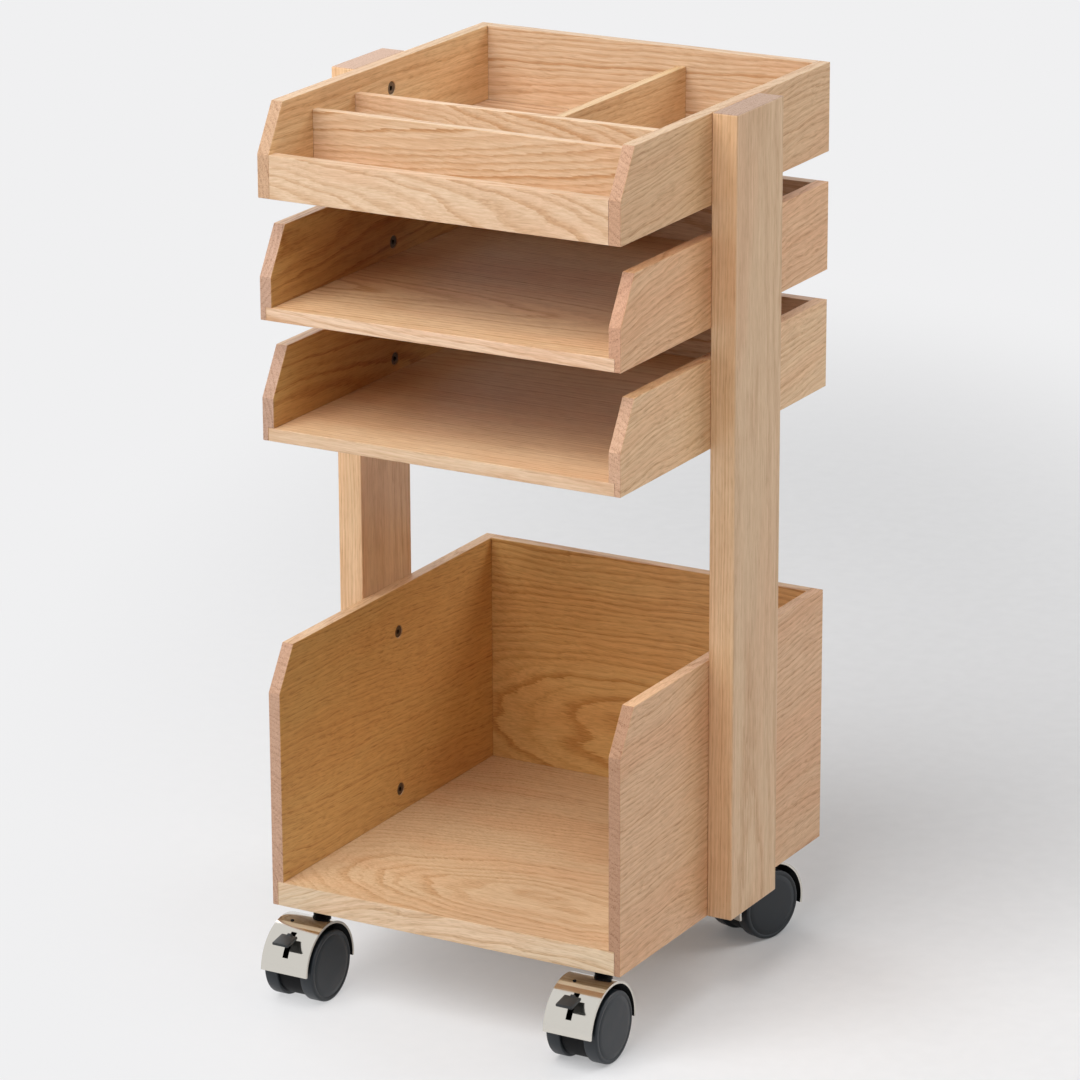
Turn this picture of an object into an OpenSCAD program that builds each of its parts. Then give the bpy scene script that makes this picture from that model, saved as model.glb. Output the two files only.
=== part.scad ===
// Rolling book cart: three trays and an open bin between two flat posts, on four twin-wheel casters.
// The front faces -Y, +Z is up, and the cart stands on Z = 0 with its outline centred on the Z axis.
// A caster's drop is worked out from its wheel, so the cart's overall height follows both.

/* [Cabinet] */
// Width over the outer faces of the side boards
cab_w = 324; // [260:1:420]
// Depth from the front edges to the back faces
cab_d = 354; // [300:1:440]
// Height of the posts, from the bin's underside to the top tray's rim
cab_h = 669.5; // [540:0.5:820]
// Thickness of the side boards, back boards and front lip
board_t = 10.5; // [8:0.5:15]
// Depth of the sloping cut on the front top corner of every side board
corner_cut_d = 22.4; // [10:0.2:35]

/* [Posts] */
// Thickness of a post, outward from the side boards
post_t = 22.3; // [18:0.1:30]
// Width of a post, from front to back
post_d = 79.5; // [60:0.5:110]
// Distance from the cabinet's front edges to the front face of the posts
post_y = 147.8; // [100:0.2:180]

/* [Bin] */
// Height of the bin's side boards
bin_h = 220.4; // [160:0.2:280]
// Thickness of the bin's floor
bin_floor_t = 20.5; // [18:0.5:28]
// Height of the sloping cut on the bin's side boards
bin_cut_h = 36.7; // [20:0.1:60]
// Height of the bin's lower bolts above its underside
bin_bolt_low = 40.8; // [32:0.1:80]
// Height of the bin's upper bolts above its underside
bin_bolt_high = 181.5; // [110:0.1:200]

/* [Trays] */
// Height of a tray's side boards
tray_h = 74; // [60:0.5:90]
// Distance from one tray to the next
tray_pitch = 99.2; // [92:0.1:125]
// Thickness of a tray's bottom board
tray_floor_t = 10.8; // [8:0.1:14]
// Height of the sloping cut on a tray's side boards
tray_cut_h = 38.6; // [20:0.1:45]
// Height of the bolts above the underside of the two paper trays
tray_bolt_z = 22.2; // [18:0.1:50]
// Height of the bolts above the underside of the top tray
top_bolt_z = 51.6; // [18:0.1:54]

/* [Top tray dividers] */
// Height of the front lip
lip_h = 35.2; // [20:0.2:50]
// Thickness of the dividers
divider_t = 8; // [5:0.5:10]
// How far the dividers' top edges lie below the rim
divider_drop = 15.3; // [5:0.1:30]
// Distance from the front edges to the front divider's face
front_divider_y = 66.2; // [45:0.2:90]
// Distance from the front edges to the rear divider's face
rear_divider_y = 130.5; // [110:0.5:200]
// Distance from the middle of the tray to the cross divider's left face
cross_divider_x = 27.9; // [-90:0.1:90]

/* [Wood fasteners] */
// Radius of the connector bolts' shanks
bolt_r = 3; // [2.5:0.1:4]
// Length of a connector bolt's shank
bolt_len = 17; // [14:0.5:18]
// Radius of the connector bolts' heads
bolt_head_r = 5; // [4.5:0.1:6]
// Height of the connector bolts' heads
bolt_head_h = 3.8; // [3:0.1:4.5]
// Radius of the threaded inserts in the posts
insert_r = 5; // [4.5:0.1:6]
// Length of the threaded inserts in the posts
insert_len = 13; // [10:0.5:14]
// Radius of the locating dowels
dowel_r = 4; // [3:0.5:5]
// Length of the locating dowels
dowel_len = 16; // [12:0.5:18]
// Distance from a tray's bolt back to its locating dowel
dowel_offset = 26; // [18:1:32]

/* [Caster wheels] */
// Radius of a wheel
wheel_r = 30; // [22:0.5:38]
// Width of one wheel
wheel_w = 12.8; // [9:0.1:14]
// Thickness of a wheel's rim
rim_t = 4; // [3:0.1:6]
// Radius of a wheel's hub
hub_r = 7; // [5.5:0.1:9]
// Radius of the steel axle
axle_r = 3; // [2:0.1:4]

/* [Caster body] */
// Distance from the cabinet's sides to the caster stems
caster_inset_x = 30; // [28:0.5:60]
// Distance from the cabinet's front to the front caster stems
caster_inset_front = 28; // [20:0.5:60]
// Distance from the cabinet's back to the rear caster stems
caster_inset_rear = 27; // [20:0.5:60]
// Turn of the rear right caster at rest
rear_right_turn = -18; // [-180:1:180]
// Horizontal distance between a caster's stem and its axle
trail = 24; // [21:0.5:28]
// Width of the caster's plastic housing
housing_w = 20.8; // [18:0.2:26]
// Step from the wheel's radius down to the housing's radius
housing_step = 2.5; // [1:0.1:6]
// Radial distance from a wheel's tread to the hood's outer face
hood_gap = 7.3; // [6:0.1:10]
// Thickness of the hood's sheet metal
hood_t = 2; // [0.8:0.1:2.4]
// Width of the hood
hood_w = 43.4; // [38:0.2:56]
// Distance from the top of the hood up to the bin
hood_clear = 8.3; // [6:0.1:14]
// Radius of the stem's collar and of the boss below it
collar_r = 7.3; // [6.5:0.1:9]
// Thickness of the stem's collar
collar_t = 3.7; // [2:0.1:5]
// Radius of the stem's journal inside the housing
journal_r = 4.5; // [3.5:0.1:5.2]
// Length of the stem's journal below the collar
journal_len = 38; // [30:1:44]
// Radius of the stem's threaded end
stud_r = 4; // [3:0.1:5]
// Length of the stem's threaded end
stud_len = 14; // [10:0.5:15]

/* [Brake] */
// Turn of the brake lever between released and locked
brake_travel = 24; // [12:1:26]
// Distance from the axle to the brake lever's pivot pin
pivot_offset = 10; // [8.5:0.5:12]
// Radius of the pivot pin
pivot_r = 1.5; // [1:0.1:2]
// Width of the brake lever's arm
arm_w = 4.2; // [3:0.1:5.4]
// Height of the brake lever's arm
arm_h = 5; // [4:0.1:6]
// Width of the pedal
pedal_w = 15; // [10:0.5:20]
// Length of the pedal
pedal_len = 15.5; // [10:0.5:20]
// Thickness of the pedal
pedal_t = 2.4; // [1.6:0.1:4]
// Distance that the locked pedal stands off the hood
pedal_standoff = 5.3; // [4:0.1:8]
// Radius of the brake bar that reaches into both wheels
brake_bar_r = 2.2; // [1.5:0.1:2.4]

/* [Hidden] */
$fn = 64;

// Clearances of the fits
bolt_clear = 0.3;
head_clear = 0.5;
running_clear = 0.05;
side_clear = 0.5;
wheel_clear = 0.6;
seat_clear = 0.05;
moving_clear = 0.3;
overcut = 1;

// Boards
lap_d = board_t / 2;
inner_w = cab_w - 2 * board_t;
floor_w = cab_w - 2 * lap_d;
post_mid_y = post_y + post_d / 2;
tray_z = [for (i = [0:2]) cab_h - tray_h - i * tray_pitch];
divider_z = tray_z[0] + tray_floor_t;
divider_h = tray_h - divider_drop - tray_floor_t;
rear_divider_back_y = rear_divider_y + divider_t;

// Bolts: the heads sink into the side boards, the shanks end inside blind inserts
head_bore_depth = bolt_head_h + 0.7;
insert_depth = insert_len + 1.5;
dowel_side_len = board_t * 0.55;
hex_socket_r = bolt_r * 0.75;
bolt_heights = [tray_z[0] + top_bolt_z, tray_z[1] + tray_bolt_z, tray_z[2] + tray_bolt_z,
    bin_bolt_high, bin_bolt_low];
dowel_heights = [tray_z[0] + top_bolt_z, tray_z[1] + tray_bolt_z, tray_z[2] + tray_bolt_z];

// Caster: its own zero is on the stem's axis, at the bin's underside
hood_r = wheel_r + hood_gap;
axle_drop = hood_r + hood_clear;
bin_z = axle_drop + wheel_r;
housing_r = wheel_r - housing_step;
wheel_in = housing_w / 2 + wheel_clear;
wheel_out = wheel_in + wheel_w;
web_t = wheel_w * 0.3;
drum_r = wheel_r - rim_t;
dome_h = 0.6;
rim_round = 1.8;
axle_len = 2 * (wheel_in + wheel_w * 0.72);
boss_top = -collar_t - moving_clear;
journal_bottom = boss_top - journal_len;
hood_hole_r = collar_r + side_clear;
stud_insert_r = stud_r + 2;
stud_insert_len = stud_len + 1;
ring_t = 1;
ring_drop = 3;
ring_groove = 0.5;
ring_r = journal_r + 0.7;

// A braked hood wraps from just above the axle's level in front to just below it behind.
// A plain one reaches lower at both ends.
hood_from = 2.5;
hood_to = 185.5;
plain_hood_from = -8;
plain_hood_to = 192;
slot_from = 23;
slot_to = 59;
slot_w = arm_w + 2 * side_clear;
peg_angle = 78;
peg_x = -9;
peg_r = 1.5;
rib_from = 73;
rib_to = 86;

// The brake lever lies along brake_dir when it is locked, and is drawn released
brake_dir = 30;
pedal_bend = -63.6;
pedal_lift = 1.5;
pivot_boss_r = pivot_r + 2.5;
arm_len = hood_r + pedal_standoff - pivot_offset;
bar_reach = drum_r - moving_clear - brake_bar_r - pivot_offset;
bar_len = 2 * (wheel_in + (wheel_w - web_t) * 0.7);
notch_r = pivot_offset + bar_reach - brake_bar_r - 2;

// Where the cart's outline begins in front, at the tip of a released pedal
arm_up = brake_dir + brake_travel;
pedal_tip = pivot_offset * cos(brake_dir) + arm_len * cos(arm_up) - pedal_lift * sin(arm_up)
    + pedal_len * cos(arm_up + pedal_bend);
front_reach = max(hood_r, pedal_tip) + trail - caster_inset_front;
centre_y = (cab_d - front_reach) / 2;

TRAYS = ["top_tray", "middle_tray", "lower_tray"];
CASTERS = ["front_left", "front_right", "rear_left", "rear_right"];
caster_pos = [
    [-cab_w / 2 + caster_inset_x, caster_inset_front],
    [cab_w / 2 - caster_inset_x, caster_inset_front],
    [-cab_w / 2 + caster_inset_x, cab_d - caster_inset_rear],
    [cab_w / 2 - caster_inset_x, cab_d - caster_inset_rear]
];
caster_turn = [0, 0, 0, rear_right_turn];

wood = "burlywood";
steel = "silver";

// ---- Shared shapes ----

// Draws once on the right and once mirrored on the left
module both_sides() {
    children();
    mirror([1, 0, 0]) children();
}

// Moves from the cabinet's own zero (front edge, bin's underside) to the cart's frame
module in_cart() {
    translate([0, -centre_y, bin_z]) children();
}

// Stands an outline of [forward, up] points upright and gives it a width along X
module upright(width) {
    rotate([90, 0, -90]) linear_extrude(width, center = true) children();
}

// A round bar along X, centred on the middle plane
module bar_x(r, len) {
    rotate([0, 90, 0]) cylinder(r = r, h = len, center = true);
}

// A flat wedge from its point at zero, between two angles
module wedge(r, from, to) {
    far = r / cos((to - from) / 4);
    mid = (from + to) / 2;
    polygon([[0, 0], [r * cos(from), r * sin(from)], [far * cos(mid), far * sin(mid)],
        [r * cos(to), r * sin(to)]]);
}

// Points along an arc
function arc(x, y, r, from, to, steps) =
    [for (i = [0:steps]) let (a = from + (to - from) * i / steps) [x + r * cos(a), y + r * sin(a)]];

// ---- Boards ----

// Bores for the bolts, from the inner face of the right side board outward
module side_bolt_bores(heights) {
    for (z = heights) translate([cab_w / 2 - board_t, post_mid_y, z]) rotate([0, 90, 0]) {
        translate([0, 0, -overcut]) cylinder(r = bolt_head_r + head_clear, h = head_bore_depth + overcut);
        cylinder(r = bolt_r + bolt_clear, h = board_t + overcut);
    }
}

// Blind bores for the dowels in the outer face of the right side board
module side_dowel_bores(heights) {
    for (z = heights) translate([cab_w / 2 - dowel_side_len, post_mid_y + dowel_offset, z])
        rotate([0, 90, 0]) cylinder(r = dowel_r, h = dowel_side_len + overcut);
}

// The right side board of a box: a cut front corner, and a lap along the bottom for the floor
module side_board(z0, h, cut_h, floor_t, lap_y, bolts, dowels) {
    color(wood) difference() {
        translate([cab_w / 2 - board_t / 2, 0, z0]) upright(board_t)
            polygon([[0, 0], [0, h - cut_h], [-corner_cut_d, h], [-cab_d, h], [-cab_d, 0]]);
        translate([cab_w / 2 - board_t - overcut, lap_y, z0 - overcut])
            cube([lap_d + overcut, cab_d - lap_y + overcut, floor_t + overcut]);
        side_bolt_bores(bolts);
        side_dowel_bores(dowels);
    }
}

// A back board, standing on the floor between the sides
module back_board(z0, h, floor_t) {
    color(wood) translate([-inner_w / 2, cab_d - board_t, z0 + floor_t])
        cube([inner_w, board_t, h - floor_t]);
}

// A floor that laps into both sides
module floor_board(z0, floor_t, front_y) {
    color(wood) translate([-floor_w / 2, front_y, z0]) cube([floor_w, cab_d - front_y, floor_t]);
}

module tray_side(i) {
    side_board(tray_z[i], tray_h, tray_cut_h, tray_floor_t, i == 0 ? board_t : -overcut,
        [bolt_heights[i]], [dowel_heights[i]]);
}

module bin_side() {
    side_board(0, bin_h, bin_cut_h, bin_floor_t, -overcut, [bin_bolt_high, bin_bolt_low], []);
}

module bin_floor() {
    difference() {
        floor_board(0, bin_floor_t, 0);
        for (p = caster_pos) translate([p[0], p[1], -overcut])
            cylinder(r = stud_insert_r, h = stud_insert_len + 1.5 + overcut);
    }
}

module top_tray_front_lip() {
    color(wood) translate([-inner_w / 2, 0, tray_z[0]]) cube([inner_w, board_t, lip_h]);
}

// A divider across the top tray, from side to side
module long_divider(y) {
    color(wood) translate([-inner_w / 2, y, divider_z]) cube([inner_w, divider_t, divider_h]);
}

module top_tray_cross_divider() {
    color(wood) translate([cross_divider_x, rear_divider_back_y, divider_z])
        cube([divider_t, cab_d - board_t - rear_divider_back_y, divider_h]);
}

module post() {
    color(wood) difference() {
        translate([cab_w / 2, post_y, 0]) cube([post_t, post_d, cab_h]);
        for (z = bolt_heights) translate([cab_w / 2 - overcut, post_mid_y, z])
            rotate([0, 90, 0]) cylinder(r = insert_r, h = insert_depth + overcut);
        for (z = dowel_heights) translate([cab_w / 2 - overcut, post_mid_y + dowel_offset, z])
            rotate([0, 90, 0]) cylinder(r = dowel_r, h = dowel_len - dowel_side_len + overcut);
    }
}

// ---- Wood fasteners ----

// A socket-head connector bolt along +Z, with its head's seat at zero
module connector_bolt() {
    difference() {
        union() {
            translate([0, 0, -bolt_head_h]) cylinder(r = bolt_head_r, h = bolt_head_h);
            cylinder(r = bolt_r, h = bolt_len);
        }
        translate([0, 0, -bolt_head_h - overcut])
            cylinder(r = hex_socket_r, h = bolt_head_h * 0.6 + overcut, $fn = 6);
    }
}

module connector_bolts() {
    color(steel) both_sides() for (z = bolt_heights)
        translate([cab_w / 2 - board_t + head_bore_depth, post_mid_y, z]) rotate([0, 90, 0]) connector_bolt();
}

module post_insert_nuts() {
    color("goldenrod") both_sides() for (z = bolt_heights)
        translate([cab_w / 2, post_mid_y, z]) rotate([0, 90, 0]) difference() {
            cylinder(r = insert_r, h = insert_len);
            translate([0, 0, -overcut]) cylinder(r = bolt_r, h = insert_len + 2 * overcut);
        }
}

module locating_dowels() {
    color("tan") both_sides() for (z = dowel_heights)
        translate([cab_w / 2 - dowel_side_len, post_mid_y + dowel_offset, z])
            rotate([0, 90, 0]) cylinder(r = dowel_r, h = dowel_len);
}

module caster_insert_nuts() {
    color("goldenrod") for (p = caster_pos) translate([p[0], p[1], 0]) difference() {
        cylinder(r = stud_insert_r, h = stud_insert_len);
        translate([0, 0, -overcut]) cylinder(r = stud_r, h = stud_insert_len + 2 * overcut);
    }
}

// ---- Casters ----

module at_caster(i) {
    translate([caster_pos[i][0], caster_pos[i][1], 0]) children();
}

// Turns what swivels as the caster stands at rest
module swivelled(i) {
    at_caster(i) rotate([0, 0, caster_turn[i]]) children();
}

// Moves from the stem's axis to the axle
module at_axle() {
    translate([0, -trail, -axle_drop]) children();
}

// Moves an upright outline's zero from the axle to the brake lever's pivot
module at_pivot() {
    translate([0, -pivot_offset * cos(brake_dir), pivot_offset * sin(brake_dir)]) children();
}

// The fixed stem: threaded end, collar, and the journal that the housing swivels on
module caster_stem() {
    color("dimgray") difference() {
        union() {
            cylinder(r = stud_r, h = stud_len);
            translate([0, 0, -collar_t]) cylinder(r = collar_r, h = collar_t);
            translate([0, 0, journal_bottom]) cylinder(r = journal_r, h = -journal_bottom - collar_t);
        }
        translate([0, 0, journal_bottom + ring_drop]) difference() {
            cylinder(r = journal_r + overcut, h = ring_t);
            translate([0, 0, -overcut]) cylinder(r = journal_r - ring_groove, h = ring_t + 2 * overcut);
        }
    }
}

// Snap rings that hold the housings on their stems
module stem_retaining_rings() {
    color(steel) for (i = [0:3]) at_caster(i) translate([0, 0, journal_bottom + ring_drop]) difference() {
        cylinder(r = ring_r, h = ring_t);
        translate([0, 0, -overcut]) cylinder(r = journal_r - ring_groove, h = ring_t + 2 * overcut);
    }
}

// Room for the lever's arm inside the housing, in [forward, up] points from the pivot
module arm_room() {
    half = arm_h / 2 + side_clear;
    reach = 2 * housing_r;
    circle(r = pivot_boss_r + side_clear);
    wedge(reach, brake_dir, arm_up);
    rotate(brake_dir) translate([0, -half]) square([reach, half + 0.1]);
    rotate(arm_up) translate([0, -0.1]) square([reach, half + 0.1]);
}

// The swivelling body between the wheels: a disc, a boss on the stem, and a rib under the hood
module caster_housing(braked) {
    color([0.1, 0.1, 0.11]) difference() {
        union() {
            at_axle() bar_x(housing_r, housing_w);
            translate([0, 0, -axle_drop]) cylinder(r = collar_r, h = axle_drop + boss_top);
            at_axle() difference() {
                upright(housing_w) intersection() {
                    circle(r = hood_r - hood_t - seat_clear, $fn = 96);
                    wedge(2 * hood_r, rib_from, rib_to);
                }
                bar_x(housing_r - overcut, housing_w + 2 * overcut);
            }
            at_axle() translate([peg_x, 0, 0]) rotate([90 - peg_angle, 0, 0])
                cylinder(r = peg_r, h = hood_r + 0.4);
        }
        at_axle() bar_x(axle_r, housing_w + 2 * overcut);
        translate([0, 0, journal_bottom - overcut])
            cylinder(r = journal_r + running_clear, h = overcut - journal_bottom);
        translate([0, 0, journal_bottom + ring_drop - moving_clear])
            cylinder(r = ring_r + moving_clear, h = ring_t + 2 * moving_clear);
        if (braked) {
            at_axle() at_pivot() bar_x(pivot_r, housing_w + 2 * overcut);
            at_axle() at_pivot() upright(slot_w) arm_room();
            at_axle() difference() {
                upright(housing_w + 2 * overcut) wedge(hood_r, brake_dir - 10, arm_up);
                bar_x(notch_r, housing_w + 4 * overcut);
            }
        }
    }
}

// The sheet-metal hood, with a hole for the boss, one for the peg, and the lever's slot
module caster_hood(braked) {
    color("gainsboro") difference() {
        at_axle() upright(hood_w) intersection() {
            difference() {
                circle(r = hood_r, $fn = 96);
                circle(r = hood_r - hood_t, $fn = 96);
            }
            union() {
                wedge(2 * hood_r, braked ? hood_from : plain_hood_from, 90);
                wedge(2 * hood_r, 90, braked ? hood_to : plain_hood_to);
            }
        }
        translate([0, 0, -axle_drop]) cylinder(r = hood_hole_r, h = axle_drop);
        at_axle() translate([peg_x, 0, 0]) rotate([90 - peg_angle, 0, 0])
            cylinder(r = peg_r + seat_clear, h = 2 * hood_r);
        if (braked) at_axle() upright(slot_w) wedge(2 * hood_r, slot_from, slot_to);
    }
}

module caster_axle() {
    color(steel) at_axle() bar_x(axle_r, axle_len);
}

// A wheel with its inner face at zero and its domed outer face toward +Z
module wheel() {
    face = wheel_w - dome_h;
    groove_out = wheel_r - rim_round - 1.4;
    groove_in = groove_out - 1.4;
    difference() {
        rotate_extrude($fn = 96) polygon(concat(
            [[0, 0], [hub_r, 0], [hub_r, wheel_w - web_t], [drum_r, wheel_w - web_t], [drum_r, 0]],
            [[wheel_r - 0.8, 0], [wheel_r, 0.8]],
            arc(wheel_r - rim_round, face - rim_round, rim_round, 0, 90, 6),
            [[groove_out, face], [groove_out - 0.5, face - 0.6], [groove_in + 0.5, face - 0.6]],
            [[groove_in, face], [groove_in * 0.5, wheel_w - 0.15], [0, wheel_w]]
        ));
        translate([0, 0, -overcut]) cylinder(r = axle_r + running_clear, h = axle_len / 2 - wheel_in + 0.5 + overcut);
    }
}

module caster_wheel(side) {
    color([0.22, 0.23, 0.25]) at_axle() translate([side * wheel_in, 0, 0]) rotate([0, side * 90, 0]) wheel();
}

// The brake lever: pivot boss, arm, pedal, and the bar that presses on the wheels' inner rims
module brake_lever() {
    color([0.2, 0.2, 0.21]) at_axle() at_pivot() rotate([-arm_up, 0, 0]) difference() {
        union() {
            bar_x(pivot_boss_r, arm_w);
            translate([-arm_w / 2, -arm_len - 1, -arm_h / 2]) cube([arm_w, arm_len + 1, arm_h]);
            translate([0, -bar_reach, 0]) bar_x(brake_bar_r, bar_len);
            translate([0, -arm_len, pedal_lift]) rotate([-pedal_bend, 0, 0])
                translate([-pedal_w / 2, -pedal_len, -pedal_t]) cube([pedal_w, pedal_len, pedal_t]);
        }
        bar_x(pivot_r + running_clear, arm_w + 2 * overcut);
    }
}

module brake_pin() {
    color(steel) at_axle() at_pivot() bar_x(pivot_r, housing_w - 1);
}

// ---- The cart ----

in_cart() mirror([1, 0, 0]) post();  // left_post
in_cart() post();  // right_post

for (i = [0:2]) {
    in_cart() mirror([1, 0, 0]) tray_side(i);
    in_cart() tray_side(i);
    in_cart() back_board(tray_z[i], tray_h, tray_floor_t);
    in_cart() floor_board(tray_z[i], tray_floor_t, i == 0 ? board_t : 0);
}

in_cart() top_tray_front_lip();
in_cart() long_divider(front_divider_y);  // top_tray_front_divider
in_cart() long_divider(rear_divider_y);  // top_tray_rear_divider
in_cart() top_tray_cross_divider();

in_cart() mirror([1, 0, 0]) bin_side();  // bin_left_side
in_cart() bin_side();  // bin_right_side
in_cart() back_board(0, bin_h, bin_floor_t);  // bin_back
in_cart() bin_floor();

in_cart() connector_bolts();
in_cart() post_insert_nuts();
in_cart() locating_dowels();
in_cart() caster_insert_nuts();
in_cart() stem_retaining_rings();

for (i = [0:3]) {
    in_cart() at_caster(i) caster_stem();
    in_cart() swivelled(i) caster_housing(i < 2);
    in_cart() swivelled(i) caster_hood(i < 2);
    in_cart() swivelled(i) caster_axle();
    in_cart() swivelled(i) caster_wheel(-1);
    in_cart() swivelled(i) caster_wheel(1);
}

for (i = [0:1]) {
    in_cart() swivelled(i) brake_lever();
    in_cart() swivelled(i) brake_pin();
}
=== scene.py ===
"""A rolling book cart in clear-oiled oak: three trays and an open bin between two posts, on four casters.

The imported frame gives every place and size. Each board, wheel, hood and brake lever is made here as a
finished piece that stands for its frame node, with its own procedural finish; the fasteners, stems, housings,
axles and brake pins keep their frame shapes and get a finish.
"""

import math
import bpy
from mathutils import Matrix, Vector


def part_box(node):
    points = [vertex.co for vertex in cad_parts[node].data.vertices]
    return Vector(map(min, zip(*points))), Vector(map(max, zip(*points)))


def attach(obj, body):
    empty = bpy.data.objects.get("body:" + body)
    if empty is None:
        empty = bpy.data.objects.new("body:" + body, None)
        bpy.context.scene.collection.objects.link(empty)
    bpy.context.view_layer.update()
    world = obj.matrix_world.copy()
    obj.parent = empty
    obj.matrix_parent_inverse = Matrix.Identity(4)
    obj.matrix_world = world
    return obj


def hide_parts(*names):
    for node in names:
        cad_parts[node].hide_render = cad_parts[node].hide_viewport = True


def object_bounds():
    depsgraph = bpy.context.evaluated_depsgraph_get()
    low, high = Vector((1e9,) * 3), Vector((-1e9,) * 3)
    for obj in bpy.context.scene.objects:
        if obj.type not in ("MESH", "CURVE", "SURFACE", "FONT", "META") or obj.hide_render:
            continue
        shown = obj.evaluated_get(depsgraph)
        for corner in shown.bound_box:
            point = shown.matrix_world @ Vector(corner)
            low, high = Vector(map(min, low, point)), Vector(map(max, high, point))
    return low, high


bl_info = {
    "name": "Book cart",
    "version": (1, 0, 0),
    "blender": (4, 5, 0),
    "location": "3D View > Sidebar > Cart",
    "description": "Makes a rolling oak book cart around its packed frame",
    "category": "Object",
}

from functools import partial

import bmesh
import bpy
from mathutils import Matrix, Vector

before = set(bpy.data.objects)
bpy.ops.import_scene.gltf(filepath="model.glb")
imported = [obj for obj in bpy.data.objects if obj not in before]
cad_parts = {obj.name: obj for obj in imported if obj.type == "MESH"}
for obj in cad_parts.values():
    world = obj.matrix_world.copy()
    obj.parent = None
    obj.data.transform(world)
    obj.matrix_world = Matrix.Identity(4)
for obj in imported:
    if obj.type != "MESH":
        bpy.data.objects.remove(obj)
CAD_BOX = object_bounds()

MM = 0.001
X, Y, Z = Vector((1, 0, 0)), Vector((0, 1, 0)), Vector((0, 0, 1))
TRAYS = ("top_tray", "middle_tray", "lower_tray")
BOXES = TRAYS + ("bin",)
CASTERS = ("front_left", "front_right", "rear_left", "rear_right")
BRAKED = CASTERS[:2]


def linear(code):
    """An sRGB colour written as #rrggbb, as linear red, green and blue."""
    parts = [int(code[i : i + 2], 16) / 255 for i in (1, 3, 5)]
    return tuple(c / 12.92 if c <= 0.04045 else ((c + 0.055) / 1.055) ** 2.4 for c in parts)


def colour(name, description, code):
    """A colour property with its default as an sRGB hex value."""
    return bpy.props.FloatVectorProperty(
        name=name, description=description, subtype="COLOR", size=3, min=0, max=1, default=linear(code)
    )


def length(name, description, millimetres):
    """A length property with its default in millimetres."""
    return bpy.props.FloatProperty(
        name=name, description=description, unit="LENGTH", precision=4, min=0, default=millimetres * MM
    )


def power(name, description, watts):
    """A lamp's power property."""
    return bpy.props.FloatProperty(name=name, description=description, unit="POWER", min=0, default=watts)


def angle(name, description, degrees):
    """An angle property with its default in degrees."""
    turn = math.radians(degrees)
    return bpy.props.FloatProperty(name=name, description=description, subtype="ANGLE", default=turn)


class WoodSettings(bpy.types.PropertyGroup):
    """Sizes and colours of the oak boards."""

    ease: length("Board edge", "Rounding of the boards' edges", 0.5)
    post_ease: length("Post edge", "Rounding of the posts' edges", 1.2)
    bore_ease: length("Bore edge", "Chamfer round a bolt's bore", 0.4)
    ring: length("Ring width", "Mean width of a growth ring", 4.0)
    pore: length("Pore width", "Width that the pores are drawn at", 0.9)
    clear: colour("Late wood", "The clean pale wood between the pore bands", "#d8b899")
    band: colour("Early wood", "The porous band at the start of a ring", "#ba885b")
    pore_tint: colour("Pore", "The dark inside of a pore", "#946a48")
    blush: colour("Blush", "The pinker patches along a board", "#d7ac8a")
    end: colour("End grain", "Wood cut across the grain", "#b99786")
    end_pore: colour("End pore", "Pores cut across the grain", "#8c6650")


class CasterSettings(bpy.types.PropertyGroup):
    """Sizes and colours of the casters and fasteners."""

    sheet_ease: length("Hood edge", "Rounding of the hood's sheet edges", 0.6)
    moulding_ease: length("Moulding edge", "Rounding of the moulded edges", 0.6)
    groove_depth: length("Groove", "Depth of the groove round a wheel's cap", 0.35)
    wheel: colour("Wheel", "Charcoal nylon of the wheels", "#23282d")
    # This colour is also the painted shade that lines the inside of the hoods
    housing: colour("Housing", "Black nylon of the housings", "#08080a")
    lever: colour("Lever", "Charcoal nylon of the brake levers", "#282a2b")
    nickel: colour("Hood", "Polished nickel of the hoods", "#d9d5cc")
    black: colour("Stem", "Black oxide of the stems", "#101012")
    bolt: colour("Bolt", "Burnished steel of the connector bolts", "#6d655c")
    brass: colour("Insert", "Brass of the threaded inserts", "#c9a45a")
    dowel: colour("Dowel", "Beech of the locating dowels", "#d5ab7d")


class StageSettings(bpy.types.PropertyGroup):
    """The floor, the lamps and the camera."""

    floor: colour("Floor", "Pale studio floor", "#e8e8e9")
    # The backdrop colour is also the floor's painted glow round the cart, which lifts its shadows
    backdrop: colour("Backdrop", "What is seen behind the cart", "#f0f0f1")
    fill: bpy.props.FloatProperty(
        name="Fill", description="Strength of the light from all round", default=0.02, min=0
    )
    key: power("Key", "Power of the large lamp high in front", 87.0)
    right: power("Right", "Power of the lamp high on the right", 8.0)
    left: power("Left", "Power of the low lamp in front, on the left", 13.0)
    back_right: power("Back right", "Power of the lamp high behind, on the right", 28.0)
    back_left: power("Back left", "Power of the lamp high behind, on the left", 14.0)
    camera_place: bpy.props.FloatVectorProperty(
        name="Camera place", description="Where the camera stands", subtype="TRANSLATION", size=3,
        default=(1.9530, -3.4492, 1.6429),
    )
    camera_turn: angle("Camera turn", "Turn of the view about the vertical", 29.47)
    camera_tilt: angle("Camera tilt", "How far the view looks down", 17.81)
    camera_roll: angle("Camera roll", "Roll of the view", -0.23)
    lens: bpy.props.FloatProperty(
        name="Lens", description="Focal length on a 36 mm sensor", subtype="DISTANCE_CAMERA", default=170.63
    )
    shift: bpy.props.FloatProperty(name="Shift", description="Sideways shift of the lens", default=-0.0023)


class CartSettings(bpy.types.PropertyGroup):
    """All of the cart's settings."""

    wood: bpy.props.PointerProperty(type=WoodSettings)
    casters: bpy.props.PointerProperty(type=CasterSettings)
    stage: bpy.props.PointerProperty(type=StageSettings)


# ---- Materials ----

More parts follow.
